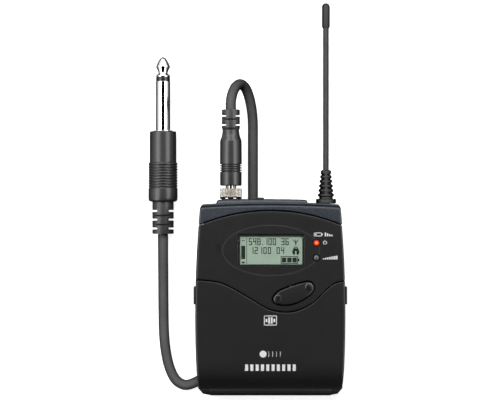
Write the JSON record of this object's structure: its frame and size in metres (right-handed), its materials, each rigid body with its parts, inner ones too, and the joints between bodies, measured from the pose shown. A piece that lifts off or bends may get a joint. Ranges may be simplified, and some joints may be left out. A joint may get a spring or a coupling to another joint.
{
  "type": "wireless guitar transmitter",
  "caption": "Bodypack radio transmitter with display, whip antenna and hinged battery cover, lying on its belt clip with its guitar jack cable plugged in.",
  "frame": {"origin": "middle of the object's footprint without its cable, on the surface that it lies on", "axes": "+X to the right of the front panel, +Y from the foot of the casing to the tip of the antenna, +Z out of the front panel, up"},
  "size_m": [0.0859, 0.1683, 0.0322],
  "materials": {
    "casing": "satin, fine texture",
    "cap": "blue-grey, textured",
    "button": "satin",
    "window": "clear, polished",
    "display": "reflective liquid crystal",
    "led": "lit indicator",
    "led_off": "unlit indicator",
    "board": "solder mask",
    "steel": "plain",
    "nickel": "nickel plated",
    "chrome": "polished",
    "gold": "gold plated",
    "cell": "printed sleeve",
    "rubber": "matt",
    "cord": "satin jacket",
    "plug": "satin"
  },
  "bodies": {
    "casing": {"rear_housing": "casing", "front_panel": "casing", "top_cap": "cap", "display_window": "window", "lcd_module": "display", "infrared_window": "casing", "led_on_lens": "led", "led_peak_lens": "led_off", "mute_switch": "steel", "main_board": "board", "button_board": "board", "shield_can": "steel", "tact_switch_down": "steel", "tact_switch_up": "steel", "tact_switch_set": "steel", "tact_switch_power": "steel", "battery_tray": "casing", "battery_lower": "cell", "battery_upper": "cell", "contact_plate_lower": "nickel", "contact_plate_upper": "nickel", "contact_spring_lower": "steel", "contact_spring_upper": "steel", "hinge_pin_left": "steel", "hinge_pin_right": "steel", "housing_screw_1": "steel", "housing_screw_2": "steel", "housing_screw_3": "steel", "housing_screw_4": "steel", "antenna_boot": "rubber", "antenna_rod": "rubber", "antenna_tip": "rubber", "audio_socket": "nickel", "plug_contact": "gold", "plug_handle": "plug", "plug_boot": "rubber", "cord": "cord", "jack_boot": "rubber", "jack_handle": "plug", "jack_sleeve": "chrome", "jack_insulator": "rubber", "jack_tip": "chrome"},
    "cover": {"battery_cover": "casing", "catch_spring_left": "steel", "catch_spring_right": "steel"},
    "catch_left": {"catch_left": "button"},
    "catch_right": {"catch_right": "button"},
    "rocker": {"rocker_button": "button"},
    "mute_knob": {"mute_knob": "button"},
    "set_button": {"set_button": "button"},
    "power_button": {"power_button": "button"},
    "belt_clip": {"belt_clip": "steel"},
    "lock_ring": {"lock_ring": "nickel"}
  },
  "joints": [
    {"name": "cover_hinge", "type": "hinge", "parent": "casing", "child": "cover", "pos_m": [0, -0.0817, 0.0246], "axis": [1, 0, 0], "range_deg": [0, 110]},
    {"name": "catch_left_slide", "type": "slide", "parent": "cover", "child": "catch_left", "axis": [1, 0, 0], "range_m": [0, 0.0008], "stiffness_N_per_m": 200},
    {"name": "catch_right_slide", "type": "slide", "parent": "cover", "child": "catch_right", "axis": [-1, 0, 0], "range_m": [0, 0.0008], "stiffness_N_per_m": 200},
    {"name": "rocker_tilt", "type": "hinge", "parent": "casing", "child": "rocker", "pos_m": [0.00985, -0.04045, 0.0289], "axis": [-0.3469, 0.9379, 0], "range_deg": [-3, 3], "stiffness_Nm_per_rad": 0.05},
    {"name": "mute_slide", "type": "slide", "parent": "casing", "child": "mute_knob", "axis": [-1, 0, 0], "range_m": [0, 0.0025]},
    {"name": "set_press", "type": "slide", "parent": "casing", "child": "set_button", "axis": [0, 0, -1], "range_m": [0, 0.0005], "stiffness_N_per_m": 300},
    {"name": "power_press", "type": "slide", "parent": "casing", "child": "power_button", "axis": [0, 0, -1], "range_m": [0, 0.0005], "stiffness_N_per_m": 300},
    {"name": "belt_clip_hinge", "type": "hinge", "parent": "casing", "child": "belt_clip", "pos_m": [0, -0.014, 0.0052], "axis": [1, 0, 0], "range_deg": [0, 15], "stiffness_Nm_per_rad": 0.5},
    {"name": "lock_ring_turn", "type": "hinge", "parent": "casing", "child": "lock_ring", "pos_m": [-0.01687, 0.0005, 0.0196], "axis": [0, 1, 0], "continuous": true}
  ]
}
